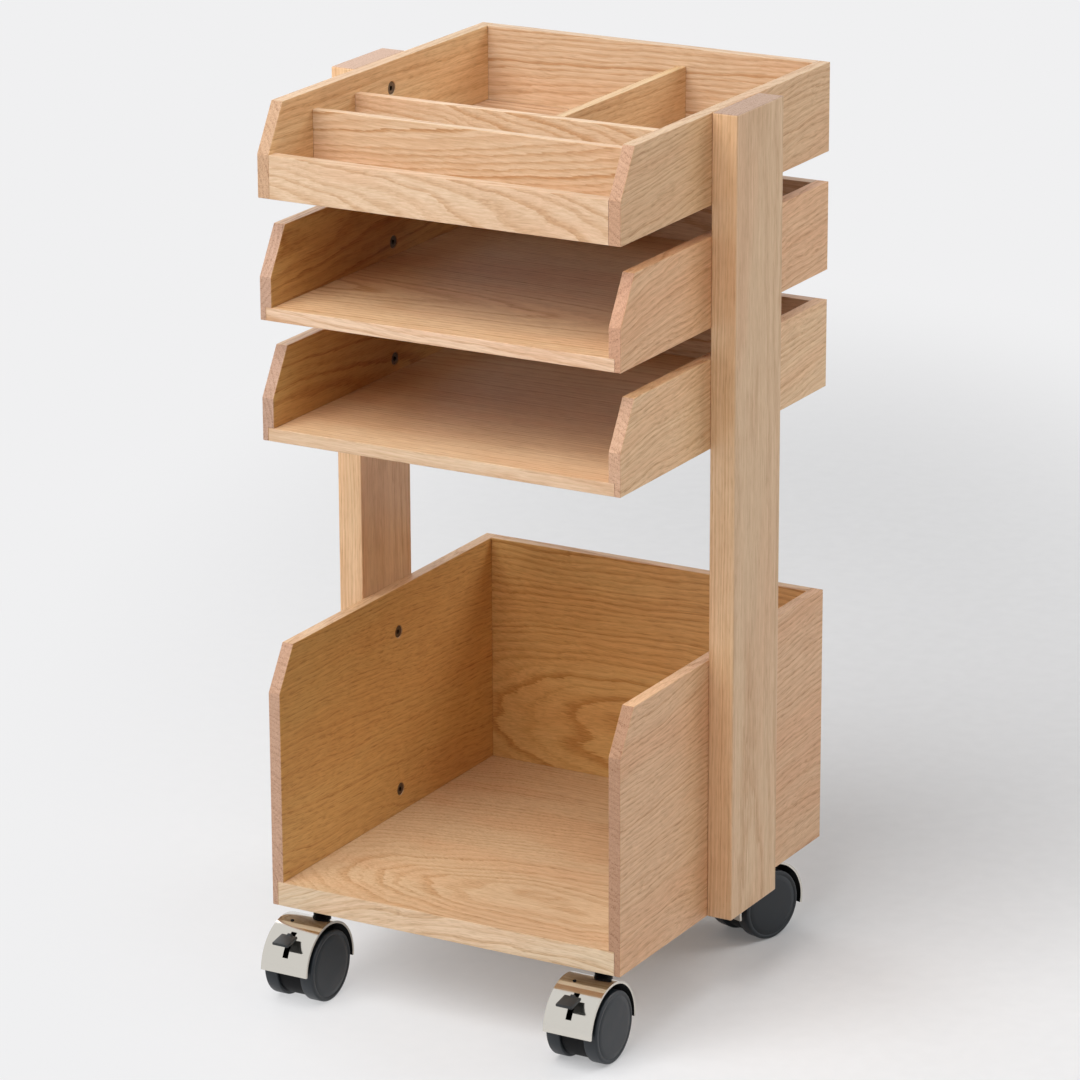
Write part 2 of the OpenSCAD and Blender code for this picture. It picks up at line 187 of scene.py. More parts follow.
MATHS, VECTORS, MIX = "ShaderNodeMath", "ShaderNodeVectorMath", "ShaderNodeMixRGB"
NOISE, RAMP, COORDINATES = "ShaderNodeTexNoise", "ShaderNodeMapRange", "ShaderNodeTexCoord"
SMOOTH = {"interpolation_type": "SMOOTHSTEP"}


def fill(tree, node, inputs):
    """Fills a node's inputs in order or by name: a node or a socket is linked, anything else is the value."""
    live = [s for s in node.inputs if s.enabled]
    for key, value in inputs.items() if isinstance(inputs, dict) else enumerate(inputs):
        socket = node.inputs[key] if isinstance(key, str) else live[key]
        if isinstance(value, bpy.types.Node):
            value = next(s for s in value.outputs if s.enabled)
        if isinstance(value, bpy.types.NodeSocket):
            tree.links.new(value, socket)
        else:
            socket.default_value = value


def add(tree, kind, inputs=(), **settings):
    """Adds a node with its settings, and fills its inputs."""
    made = tree.nodes.new(kind)
    for key, value in settings.items():
        setattr(made, key, value)
    fill(tree, made, inputs)
    return made


def rgba(rgb):
    return (*rgb, 1.0)


def new_material(name, base, **constants):
    """A material with one principled shader; a value that is the same all over is set on its own socket."""
    material = bpy.data.materials.new(name)
    material.use_nodes = True
    tree = material.node_tree
    shader = tree.nodes["Principled BSDF"]
    shader.inputs["Base Color"].default_value = rgba(base)
    for key, value in constants.items():
        shader.inputs[key.replace("_", " ").title().replace("Ior", "IOR")].default_value = value
    material.diffuse_color = rgba(base)
    return material, tree, shader


# Sizes of the oak figure in millimetres: along the grain, across the board, and through it
STAVE_SCATTER = (900.0, 70.0, 50.0)  # how far a stave's figure may lie from its neighbour's
SWIRL_SIZE = (190.0, 70.0, 70.0)
WAVER_REACH, FRAY_REACH = 1.6, 2.4  # how far a ring wavers, and how far the pores fray its edge
YEARS_SIZE, YEARS_REACH = 9.0, 3.2  # how the rings' widths vary from year to year


def oak_figure(wood):
    """Solid oak as a figure in space: rings about a pith, pores, fibres and blushes.

    It reads a place in millimetres: X along the grain, Y across the board, Z through it. A board may be
    glued from staves, each with its own stretch of the figure.
    """
    tree = bpy.data.node_groups.new("oak figure", "ShaderNodeTree")
    put = partial(add, tree)
    for name, kind, default in (
        ("Place", "Vector", (0, 0, 0)), ("Stave", "Float", 1000), ("Shift", "Float", 0.5),
        ("Scatter", "Float", 0), ("Depth", "Float", 60), ("Side", "Float", 0), ("Taper", "Float", 0.03),
        ("Bow", "Float", 0), ("Swirl", "Float", 8), ("Growth", "Float", 1), ("Rings", "Float", 1),
        ("Dashes", "Float", 1), ("Seed", "Float", 0), ("End", "Float", 0), ("Tone", "Color", (1, 1, 1, 1)),
    ):
        tree.interface.new_socket(name, in_out="INPUT", socket_type="NodeSocket" + kind).default_value = default
    for name, kind in (("Color", "Color"), ("Roughness", "Float"), ("Height", "Float")):
        tree.interface.new_socket(name, in_out="OUTPUT", socket_type="NodeSocket" + kind)
    given = put("NodeGroupInput").outputs
    pore, ring = wood.pore / MM, wood.ring / MM

    # Which stave this is, and how far across it
    place = put("ShaderNodeSeparateXYZ", [given["Place"]]).outputs
    across = put(MATHS, [place["Y"], given["Stave"]], operation="DIVIDE")
    across = put(MATHS, [across, given["Shift"]], operation="ADD")
    stave = put(MATHS, [across], operation="FLOOR")
    across = put(MATHS, [across, stave], operation="SUBTRACT")
    across = put(MATHS, [across, 0.5], operation="SUBTRACT")
    across = put(MATHS, [across, given["Stave"], given["Side"]], operation="MULTIPLY_ADD")
    stave = put(MATHS, [given["Seed"], 17.0, stave], operation="MULTIPLY_ADD")
    chance = put("ShaderNodeTexWhiteNoise", {"W": stave}, noise_dimensions="1D").outputs["Color"]
    chance = put(VECTORS, [chance, (0.5, 0.5, 0.5)], operation="SUBTRACT")
    chance = put(VECTORS, {0: chance, "Scale": given["Scatter"]}, operation="SCALE")
    chance = put("ShaderNodeSeparateXYZ", [chance]).outputs

    # The pith's own coordinates: it lies behind the board's face, a little askew and bowed, and it swirls
    along = put(MATHS, [chance["X"], STAVE_SCATTER[0], place["X"]], operation="MULTIPLY_ADD")
    across = put(MATHS, [chance["Y"], STAVE_SCATTER[1], across], operation="MULTIPLY_ADD")
    deep = put(MATHS, [chance["Z"], STAVE_SCATTER[2], given["Depth"]], operation="MULTIPLY_ADD")
    deep = put(MATHS, [deep, place["Z"]], operation="ADD")
    deep = put(MATHS, [along, given["Taper"], deep], operation="MULTIPLY_ADD")
    bowed = put(MATHS, [along, 0.01], operation="MULTIPLY")
    bowed = put(MATHS, [bowed, bowed], operation="MULTIPLY")
    deep = put(MATHS, [bowed, given["Bow"], deep], operation="MULTIPLY_ADD")
    start = put("ShaderNodeCombineXYZ", [put(MATHS, [stave, 331.0], operation="MULTIPLY")])
    straight = put(VECTORS, [put("ShaderNodeCombineXYZ", [along, across, deep]), start], operation="ADD")
    swirl = put(VECTORS, [straight, SWIRL_SIZE], operation="DIVIDE")
    swirl = put(NOISE, {"Vector": swirl, "Scale": 1.0, "Detail": 3.0, "Roughness": 0.55}).outputs["Color"]
    swirl = put(VECTORS, [swirl, (0.5, 0.5, 0.5)], operation="SUBTRACT")
    swirl = put(VECTORS, [swirl, (0.0, 1.0, 1.0)], operation="MULTIPLY")
    swirl = put(VECTORS, {0: swirl, "Scale": given["Swirl"]}, operation="SCALE")
    bent = put(VECTORS, [straight, swirl], operation="ADD")

    # Noise drawn out along the grain, each kind with its length, width and depth in millimetres. The pores
    # are drawn a few times wider than real so that they show.
    drawn = {}
    for name, size, detail, sharp in (
        ("waver", (34.0, 14.0, 14.0), 2.0, 0.5), ("fray", (48.0, 1.2, 1.2), 2.0, 0.55),
        ("pores", (11.0, pore, pore), 1.5, 0.5), ("fibres", (110.0, 1.5, 1.5), 3.0, 0.65),
        ("blush", (260.0, 42.0, 42.0), 2.0, 0.5), ("mottle", (20.0, 13.0, 13.0), 1.0, 0.5),
    ):
        scaled = put(VECTORS, [bent, size], operation="DIVIDE")
        drawn[name] = put(NOISE, {"Vector": scaled, "Scale": 1.0, "Detail": detail, "Roughness": sharp}).outputs

    # Rings, their edges frayed by the pores that they are made of
    waver = put(VECTORS, [drawn["waver"]["Color"], (0.5, 0.5, 0.5)], operation="SUBTRACT")
    radial = put(VECTORS, [waver, (WAVER_REACH,) * 3, bent], operation="MULTIPLY_ADD")
    radial = put(VECTORS, [radial, (0.0, 1.0, 1.0)], operation="MULTIPLY")
    radius = put(VECTORS, [radial], operation="LENGTH").outputs["Value"]
    fray = put(MATHS, [drawn["fray"]["Fac"], 0.5], operation="SUBTRACT")
    radius = put(MATHS, [fray, FRAY_REACH, radius], operation="MULTIPLY_ADD")
    years = put(MATHS, [radius, YEARS_SIZE], operation="DIVIDE")
    years = put(NOISE, {"W": years, "Scale": 1.0, "Detail": 1.0}, noise_dimensions="1D")
    years = put(MATHS, [years, YEARS_REACH, radius], operation="MULTIPLY_ADD")
    years = put(MATHS, [years, put(MATHS, [given["Growth"], ring], operation="MULTIPLY")], operation="DIVIDE")
    year = put(MATHS, [years], operation="FLOOR")
    season = put(MATHS, [years, year], operation="SUBTRACT")
    strong = put("ShaderNodeTexWhiteNoise", {"W": year}, noise_dimensions="1D").outputs["Value"]
    rise = put(RAMP, [season, 0.0, 0.1, 0.0, 1.0], **SMOOTH)
    fall = put(RAMP, [season, 0.12, 0.68, 1.0, 0.0], **SMOOTH)
    early = put(MATHS, [rise, fall], operation="MULTIPLY")
    early = put(MATHS, [early, put(RAMP, [strong, 0.0, 1.0, 0.3, 1.0])], operation="MULTIPLY")
    pores = put(RAMP, [drawn["pores"]["Fac"], 0.46, 0.66, 0.0, 1.0], **SMOOTH)
    pores = put(MATHS, [pores, put(MATHS, [early, 0.6, 0.4], operation="MULTIPLY_ADD")], operation="MULTIPLY")
    blush = put(RAMP, [drawn["blush"]["Fac"], 0.42, 0.66, 0.0, 0.6], **SMOOTH)

    # Colour
    shown = put(MATHS, [given["Rings"], 0.95], operation="MULTIPLY")
    shown = put(MATHS, [early, shown], operation="MULTIPLY")
    dashed = put(MATHS, [given["Dashes"], 0.45], operation="MULTIPLY")
    dashed = put(MATHS, [pores, dashed], operation="MULTIPLY")
    tint = put(MIX, [blush, rgba(wood.clear), rgba(wood.blush)])
    tint = put(MIX, [shown, tint, rgba(wood.band)])
    tint = put(MIX, [dashed, tint, rgba(wood.pore_tint)], use_clamp=True)
    cut = put(MATHS, [early, 0.3, put(MATHS, [pores, 0.8], operation="MULTIPLY")], operation="MULTIPLY_ADD")
    cut = put(MIX, [cut, rgba(wood.end), rgba(wood.end_pore)])
    tint = put(MIX, [given["End"], tint, cut])
    shade = put(MATHS, [drawn["fibres"]["Fac"], 1.5, -0.42], operation="MULTIPLY_ADD")
    shade = put(MATHS, [drawn["mottle"]["Fac"], 0.35, shade], operation="MULTIPLY_ADD")
    shade = put(MIX, [shade, (0.84, 0.77, 0.68, 1.0), (1.16, 1.23, 1.32, 1.0)])
    tint = put(VECTORS, [tint, shade], operation="MULTIPLY")
    # The board's tone, which also carries painted light and shade, tints all of it
    tint = put(VECTORS, [tint, given["Tone"]], operation="MULTIPLY")
    rough = put(MATHS, [drawn["fibres"]["Fac"], 0.12, 0.44], operation="MULTIPLY_ADD")
    rough = put(MATHS, [pores, 0.25, rough], operation="MULTIPLY_ADD")
    height = put(MATHS, [drawn["fibres"]["Fac"], 0.35], operation="MULTIPLY")
    height = put(MATHS, [pores, -1.0, height], operation="MULTIPLY_ADD")
    put("NodeGroupOutput", {"Color": tint, "Roughness": rough, "Height": height})
    return tree


def oak(name, low, high, grain, across, figure, slope=0, painted_cast=None, **inputs):
    """White oak, planed, sanded and oiled: satin, with fine dark pores along the grain and a matter end grain.

    One of its faces may carry painted light or shade: a tint of colour of its own, by the way that face looks.
    """
    material, tree, shader = new_material(name, (0.7, 0.5, 0.3), coat_weight=0.3, coat_roughness=0.3)
    put = partial(add, tree)
    sloped = Matrix.Rotation(math.radians(slope), 3, grain.cross(across))
    grain, across = sloped @ grain, sloped @ across
    place = put(COORDINATES).outputs
    normal = put("ShaderNodeNewGeometry").outputs["True Normal"]
    normal = put(
        "ShaderNodeVectorTransform", [normal], vector_type="NORMAL", convert_from="WORLD", convert_to="OBJECT"
    )
    turn = Matrix((grain, across, grain.cross(across))).transposed().to_euler()
    mapped = put(
        "ShaderNodeMapping",
        {"Vector": place["Object"], "Location": (low + high) / 2, "Rotation": turn, "Scale": (MM, MM, MM)},
        vector_type="TEXTURE",
    )
    facing = put(VECTORS, [normal, grain], operation="DOT_PRODUCT")
    facing = put(MATHS, [facing], operation="ABSOLUTE")
    facing = put(RAMP, [facing, 0.45, 0.8, 0.0, 1.0], **SMOOTH)
    # Painted light and shade: a face that looks the given way takes its own tint in place of the board's tone
    if painted_cast:
        outward, own = painted_cast
        painted_face = put(VECTORS, [normal, outward], operation="DOT_PRODUCT")
        painted_face = put(RAMP, [painted_face, 0.45, 0.8, 0.0, 1.0], **SMOOTH)
        inputs["Tone"] = put(MIX, [painted_face, inputs["Tone"], (*own, 1.0)])
    wood = put("ShaderNodeGroup", dict(inputs, Place=mapped, End=facing), node_tree=figure)
    bump = put("ShaderNodeBump", {"Strength": 0.5, "Distance": 0.12 * MM, "Height": wood.outputs["Height"]})
    fill(tree, shader, {"Base Color": wood, "Roughness": wood.outputs["Roughness"], "Normal": bump})
    return material


def moulded(name, base, roughness, grain, depth, **constants):
    """Moulded nylon: a low, even sheen broken by the fine spark-eroded grain of its mould."""
    material, tree, shader = new_material(name, base, **constants)
    put = partial(add, tree)
    place = put(COORDINATES).outputs["Object"]
    fine = put(NOISE, {"Vector": place, "Scale": 1 / (grain * MM), "Detail": 2.0})
    broad = put(NOISE, {"Vector": place, "Scale": 1 / (14 * MM), "Detail": 3.0})
    rough = put(RAMP, [broad, 0.3, 0.7, roughness - 0.05, roughness + 0.07])
    dust = put(RAMP, [broad, 0.35, 0.75, 0.9, 1.18])
    tint = put(VECTORS, {0: base, "Scale": dust}, operation="SCALE")
    bump = put("ShaderNodeBump", {"Strength": 0.4, "Distance": depth * MM, "Height": fine.outputs[0]})
    fill(tree, shader, {"Base Color": tint, "Roughness": rough, "Normal": bump})
    return material


def polished(name, base, roughness, wear):
    """Plated or bare metal: a clear reflection, a little soft where it is rubbed and handled."""
    material, tree, shader = new_material(name, base, metallic=1.0)
    put = partial(add, tree)
    place = put(COORDINATES).outputs["Object"]
    rubbed = put(NOISE, {"Vector": place, "Scale": 1 / (9 * MM), "Detail": 4.0})
    rough = put(RAMP, [rubbed, 0.35, 0.7, roughness, roughness + wear])
    wavy = put(NOISE, {"Vector": place, "Scale": 1 / (22 * MM), "Detail": 1.0})
    bump = put("ShaderNodeBump", {"Strength": 0.25, "Distance": 0.04 * MM, "Height": wavy.outputs[0]})
    fill(tree, shader, {"Roughness": rough, "Normal": bump})
    return material


# ---- Shapes ----

WELD, FINE_WELD = 0.001, 0.0005  # corners closer than this are one, in millimetres


def box_shape(low, high):
    """A plain board between two corners."""
    shape = bmesh.new()
    bmesh.ops.create_cube(shape, size=1)
    bmesh.ops.scale(shape, vec=high - low, verts=shape.verts)
    bmesh.ops.translate(shape, vec=(low + high) / 2, verts=shape.verts)
    return shape


def soften(shape, size, segments=3):
    """Rounds every sharp edge that stands out."""
    bmesh.ops.recalc_face_normals(shape, faces=shape.faces)
    sharp = [e for e in shape.edges if e.is_convex and e.calc_face_angle(0) > math.radians(25)]
    bmesh.ops.bevel(
        shape, geom=sharp, offset=size, offset_type="OFFSET", affect="EDGES", segments=segments, profile=0.5,
        material=-1, clamp_overlap=True,
    )
    bmesh.ops.recalc_face_normals(shape, faces=shape.faces)
    return shape


def raised(shape, faces, by):
    """Extrudes a region of faces, and gives the faces at its new end."""
    made = bmesh.ops.extrude_face_region(shape, geom=faces)["geom"]
    bmesh.ops.translate(shape, vec=by, verts=[g for g in made if isinstance(g, bmesh.types.BMVert)])
    return [g for g in made if isinstance(g, bmesh.types.BMFace)]


def cut_along(shape, faces, point, normal, weld=WELD):
    """Cuts faces, with their edges and corners, along a plane, and gives the faces on both of its sides."""
    geometry = list(dict.fromkeys(g for f in faces for g in (f, *f.edges, *f.verts)))
    made = bmesh.ops.bisect_plane(shape, geom=geometry, plane_co=point, plane_no=normal, dist=weld * MM)
    return [g for g in made["geom"] if isinstance(g, bmesh.types.BMFace)]


def solids_in(node):
    """The boxes of the separate solids of a frame node."""
    shape = bmesh.new()
    shape.from_mesh(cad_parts[node].data)
    bmesh.ops.remove_doubles(shape, verts=shape.verts, dist=WELD * MM)
    left, boxes = set(shape.verts), []
    while left:
        front, found = [left.pop()], []
        while front:
            corner = front.pop()
            found.append(corner.co.copy())
            near = {e.other_vert(corner) for e in corner.link_edges} & left
            left -= near
            front += near
        boxes.append([Vector(f(p[i] for p in found) for i in range(3)) for f in (min, max)])
    shape.free()
    return sorted(boxes, key=lambda b: tuple(round(c, 6) for c in b[0]))


def side_shape(node, floor):
    """A side board: the outline with its cut corner, then the lap along the foot that takes the floor."""
    low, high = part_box(node)
    points = [v.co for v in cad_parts[node].data.vertices]
    cut_z = max(p.z for p in points if p.y < low.y + 0.1 * MM)
    cut_y = min(p.y for p in points if p.z > high.z - 0.1 * MM)
    floor_low, floor_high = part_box(floor)
    outer, lap, inner = (low.x, floor_low.x, high.x) if low.x < 0 else (high.x, floor_high.x, low.x)
    shape = bmesh.new()
    outline = ((low.y, low.z), (low.y, cut_z), (cut_y, high.z), (high.y, high.z), (high.y, low.z))
    face = shape.faces.new([shape.verts.new((outer, y, z)) for y, z in outline])
    middle = raised(shape, [face], X * (lap - outer))
    for point, normal in ((floor_high, Z), (floor_low, Y)):
        middle = cut_along(shape, middle, point, normal)
    centres = [(f, f.calc_center_median()) for f in middle]
    above = [f for f, centre in centres if centre.z > floor_high.z or centre.y < floor_low.y]
    raised(shape, above, X * (inner - lap))
    bmesh.ops.delete(shape, geom=above, context="FACES_ONLY")
    bmesh.ops.recalc_face_normals(shape, faces=shape.faces)
    bmesh.ops.dissolve_limit(shape, angle_limit=0.01, verts=shape.verts, edges=shape.edges)
    return shape


def sink_bore(shape, centre, inward, radius, depth, ease):
    """Sinks a blind round bore with an eased rim into the flat face round a point."""
    side = inward.orthogonal().normalized()
    reach = radius * 1.7

    def face_here():
        for face in shape.faces:
            flat = face.normal.dot(inward) < -0.999 and abs((face.verts[0].co - centre).dot(inward)) < 0.01 * MM
            if flat and bmesh.geometry.intersect_face_point(face, centre):
                return face
        raise RuntimeError("no flat face for a bore")

    for way in (side, -side, inward.cross(side), -inward.cross(side)):
        cut_along(shape, [face_here()], centre + way * reach, way)
    bmesh.ops.bisect_edges(shape, edges=face_here().edges, cuts=7)
    face = face_here()
    bmesh.ops.inset_individual(shape, faces=[face], thickness=radius * 0.2)
    for down, wide in ((0, radius + ease), (ease, radius), (depth, radius)):
        if down:
            face = bmesh.ops.extrude_discrete_faces(shape, faces=[face])["faces"][0]
        for corner in face.verts:
            arm = corner.co - centre
            arm -= inward * arm.dot(inward)
            corner.co = centre + inward * down + arm.normalized() * wide


def spun(profile, centre, axis, away, steps=72):
    """Turns a profile of (along the axis, away from it) points in millimetres a full round."""
    shape = bmesh.new()
    points = [shape.verts.new(centre + axis * a * MM + away * r * MM) for a, r in profile]
    edges = [shape.edges.new(pair) for pair in zip(points, points[1:])]
    bmesh.ops.spin(
        shape, geom=points + edges, cent=centre, axis=axis, dvec=(0, 0, 0), angle=math.tau, steps=steps,
        use_merge=True, use_duplicate=False,
    )
    bmesh.ops.remove_doubles(shape, verts=shape.verts, dist=WELD * MM)
    bmesh.ops.recalc_face_normals(shape, faces=shape.faces)
    return shape


def punch(shape, centre, reach, planes):
    """Cuts a convex hole out of a sheet: near centre, what lies behind every plane goes."""
    inside = [f for f in shape.faces if (f.calc_center_median() - centre).length < reach]
    for point, normal in planes:
        faces = cut_along(shape, inside, point, normal, FINE_WELD)
        inside = [f for f in faces if (f.calc_center_median() - point).dot(normal) < 0]
    bmesh.ops.delete(shape, geom=inside, context="FACES")


def round_planes(centre, axis, radius, sides):
    """Planes round a straight hole."""
    side = axis.orthogonal().normalized()
    ways = [Matrix.Rotation(math.tau * i / sides, 3, axis) @ side for i in range(sides)]
    return [(centre + way * radius, way) for way in ways]


def mesh_of(name, shape):
    """Puts a finished shape into a mesh."""
    mesh = bpy.data.meshes.new(name)
    shape.to_mesh(mesh)
    shape.free()
    return mesh


def piece(name, shape, material, body, slot, *nodes, crease=35):
    """Makes a finished shape a piece that rides on a body and stands for its frame nodes."""
    bmesh.ops.remove_doubles(shape, verts=shape.verts, dist=FINE_WELD * MM)
    mesh = mesh_of(name, shape)
    mesh.materials.append(material)
    mesh.shade_smooth()
    mesh.set_sharp_from_angle(angle=math.radians(crease))
    made = bpy.data.objects.new(name, mesh)
    bpy.context.scene.collection.objects.link(made)
    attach(made, body)
    if nodes:
        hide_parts(*nodes)
    return made


def even_shading(made):
    """Keeps flat faces flat beside their rounded edges."""
    weighted = made.modifiers.new("even shading", "WEIGHTED_NORMAL")
    weighted.keep_sharp = True
    return made


def finish_node(node, material):
    """Gives a frame node that stays its own finish."""
    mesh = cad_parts[node].data
    mesh.materials.clear()
    mesh.materials.append(material)


# ---- Boards ----

# Each board's figure, where it differs from the oak's own: how deep its pith lies and how far to the side, how
# askew and bowed it is, how much it swirls, how wide its rings grew, and how strong its rings and pores show
FIGURES = {
    "left_post": dict(Depth=140, Side=12, Taper=0.004, Swirl=6, Growth=0.7, Seed=1, Rings=0.6, Dashes=0.7),
    "right_post": dict(Depth=150, Side=8, Taper=0.006, Swirl=6, Growth=0.7, Seed=2, Rings=0.6, Dashes=0.7),
    "top_tray_left_side": dict(Depth=70, Side=40, Taper=0.02, Swirl=9, Seed=3, Rings=0.7),
    "top_tray_right_side": dict(Side=105, Taper=0.02, Swirl=26, Growth=1.1, Seed=4, Rings=0.75, slope=5),
    "top_tray_back": dict(Side=65, Taper=-0.05, Swirl=14, Seed=5, Dashes=0.7),
    "top_tray_bottom": dict(Depth=40, Side=5, Taper=0.04, Swirl=10, Seed=6, Stave=88, Scatter=1),
    "top_tray_front_lip": dict(
        Depth=55, Side=30, Taper=0.14, Swirl=20, Growth=1.3, Seed=7, Rings=0.7, Dashes=0.6,
    ),
    "top_tray_front_divider": dict(Side=-50, Taper=0.08, Growth=0.9, Seed=8, Rings=1.1, Dashes=0.6),
    "top_tray_rear_divider": dict(
        Depth=50, Side=24, Taper=0.18, Swirl=18, Growth=1.2, Seed=9, Rings=0.8, Dashes=0.6,
    ),
    "top_tray_cross_divider": dict(Side=60, Taper=0.02, Seed=10, Rings=0.6),
    "middle_tray_left_side": dict(Side=-20, Taper=0.04, Swirl=10, Seed=11),
    "middle_tray_right_side": dict(Side=-105, Taper=0.02, Swirl=28, Growth=1.1, Seed=12, Rings=0.8, slope=7),
    "middle_tray_back": dict(Depth=55, Side=30, Taper=0.04, Swirl=9, Seed=13),
    "middle_tray_bottom": dict(Side=90, Taper=0.05, Swirl=10, Seed=14, Rings=0.9),
    "lower_tray_left_side": dict(Side=26, Swirl=9, Seed=15),
    "lower_tray_right_side": dict(Side=110, Taper=0.02, Swirl=26, Growth=1.1, Seed=16, Rings=0.7, slope=5),
    "lower_tray_back": dict(Depth=50, Side=-34, Taper=0.04, Swirl=9, Seed=17),
    "lower_tray_bottom": dict(Side=-90, Taper=0.02, Seed=18, Rings=0.7, Dashes=0.8),
    "bin_left_side": dict(Side=120, Taper=0.04, Swirl=20, Seed=19, Rings=0.5, Dashes=1.3, slope=-3),
    "bin_right_side": dict(Depth=70, Side=150, Swirl=26, Growth=1.1, Seed=20, Rings=0.7, Dashes=1.1, slope=4),
    "bin_back": dict(Depth=70, Side=60, Taper=-0.03, Bow=4, Swirl=18, Growth=1.2, Seed=21, Rings=0.95),
    "bin_floor": dict(Side=112, Taper=-0.13, Bow=9, Swirl=28, Growth=1.3, Seed=22, Rings=0.6),
}

# Each board's own cast of colour, partly as boards from different trees have and partly painted light and
# shade: whole boards brightened, darkened or warmed by how light falls on them
TONES_AND_PAINTED_LIGHT = {
    "left_post": (1.15, 1.14, 1.01),
    "right_post": (1.04, 1.0, 0.87),
    "top_tray_left_side": (1.12, 1.09, 0.85),
    "top_tray_right_side": (1.06, 0.96, 0.76),
    "top_tray_back": (0.97, 1.0, 0.99),
    "top_tray_front_lip": (0.97, 0.98, 0.96),
    "top_tray_front_divider": (1.01, 1.05, 1.03),
    "top_tray_rear_divider": (1.08, 1.13, 1.12),
    "top_tray_cross_divider": (1.03, 1.0, 0.8),
    "middle_tray_left_side": (1.03, 1.0, 0.9),
    "middle_tray_right_side": (1.15, 0.99, 0.79),
    "middle_tray_bottom": (1.13, 1.11, 0.98),
    "lower_tray_left_side": (1.0, 0.98, 0.9),
    "lower_tray_right_side": (1.2, 1.14, 0.95),
    "lower_tray_bottom": (1.1, 1.09, 0.99),
    "bin_left_side": (1.06, 1.0, 0.86),
    "bin_right_side": (1.1, 0.97, 0.8),
    "bin_back": (1.06, 1.0, 0.86),
    "bin_floor": (0.97, 0.99, 0.9),
}

# Faces with painted light and shade of their own, and which way each looks: faces that other boards close in
# take a deeper amber as painted shade and bounced light, up-facing tops are darker as painted shade, and
# front-facing edges are paler or darker as painted light and shade
PAINTED_LIGHT_CASTS = {
    "right_post": (Z, (0.84, 0.83, 0.72)),
    "top_tray_left_side": (Z, (0.96, 0.96, 0.85)),
    "top_tray_right_side": (Z, (0.91, 0.9, 0.82)),
    "middle_tray_bottom": (-Y, (1.06, 1.07, 1.1)),
    "lower_tray_bottom": (-Y, (0.97, 0.98, 0.96)),
    "bin_right_side": (-Y, (0.88, 0.76, 0.57)),
    "bin_floor": (-Y, (1.03, 1.13, 1.14)),
    "middle_tray_left_side": (X, (0.94, 0.8, 0.4)),
    "lower_tray_left_side": (X, (0.94, 0.8, 0.4)),
    "bin_left_side": (X, (0.93, 0.8, 0.4)),
    "bin_back": (-Y, (1.1, 1.0, 0.57)),
}


def board(node, shape, grain, across, figure):
    """Finishes one board: its shape, its own piece of oak, and its place on the cart."""
    low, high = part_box(node)
    tone_and_light = (*TONES_AND_PAINTED_LIGHT.get(node, (1.0, 1.0, 1.0)), 1.0)
    name, painted_cast = node.replace("_", " ") + " oak", PAINTED_LIGHT_CASTS.get(node)
    wood = oak(name, low, high, grain, across, figure, painted_cast=painted_cast, Tone=tone_and_light, **FIGURES[node])
    return even_shading(piece(node + "_board", shape, wood, "cart", "oak", node))


def plank(node, grain, across, figure, ease):
    """A plain board with eased edges."""
    return board(node, soften(box_shape(*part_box(node)), ease), grain, across, figure)


def side_pair(box, figure, wood):
    """Both side boards of a tray or the bin, with the sunk bores of their bolts."""
    floor = "bin_floor" if box == "bin" else box + "_bottom"
    for side in ("left", "right"):
        node = f"{box}_{side}_side"
        low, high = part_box(node)
        shape = soften(side_shape(node, floor), wood.ease)
        inward, face_x = (-X, high.x) if side == "left" else (X, low.x)
        for bolt_low, bolt_high in solids_in("connector_bolts"):
            middle = (bolt_low + bolt_high) / 2
            if low.z < middle.z < high.z and middle.x * face_x > 0:
                head = (bolt_high.z - bolt_low.z) / 2
                seat = abs(face_x - (bolt_high.x if side == "left" else bolt_low.x))
                centre = Vector((face_x, middle.y, middle.z))
                sink_bore(shape, centre, inward, head + 0.5 * MM, seat + 3.8 * MM, wood.bore_ease)
        board(node, shape, Y, Z, figure)


def figure_of(context):
    """The oak figure that every board shares."""
    return bpy.data.node_groups.get("oak figure") or oak_figure(context.scene.cart.wood)


class CART_OT_posts(bpy.types.Operator):
    """Make the two posts"""

    bl_idname = "cart.posts"
    bl_label = "Posts"

    def execute(self, context):
        for side in ("left", "right"):
            plank(side + "_post", Z, Y, figure_of(context), context.scene.cart.wood.post_ease)
        return {"FINISHED"}


class CART_OT_side_boards(bpy.types.Operator):
    """Make the side boards of the trays and the bin, with their cut corners, laps and bolt bores"""

    bl_idname = "cart.side_boards"
    bl_label = "Side boards"

    def execute(self, context):
        for box in BOXES:
            side_pair(box, figure_of(context), context.scene.cart.wood)
        return {"FINISHED"}


class CART_OT_backs_and_floors(bpy.types.Operator):
    """Make the back board and the bottom board of each tray and the bin"""

    bl_idname = "cart.backs_and_floors"
    bl_label = "Backs and floors"

    def execute(self, context):
        ease = context.scene.cart.wood.ease
        for box in BOXES:
            plank(box + "_back", X, Z, figure_of(context), ease)
            plank("bin_floor" if box == "bin" else box + "_bottom", X, Y, figure_of(context), ease)
        return {"FINISHED"}


class CART_OT_top_tray_fittings(bpy.types.Operator):
    """Make the top tray's front lip and its three dividers"""

    bl_idname = "cart.top_tray_fittings"
    bl_label = "Lip and dividers"

    def execute(self, context):
        for part, grain in (("front_lip", X), ("front_divider", X), ("rear_divider", X), ("cross_divider", Y)):
            plank("top_tray_" + part, grain, Z, figure_of(context), context.scene.cart.wood.ease)
        return {"FINISHED"}


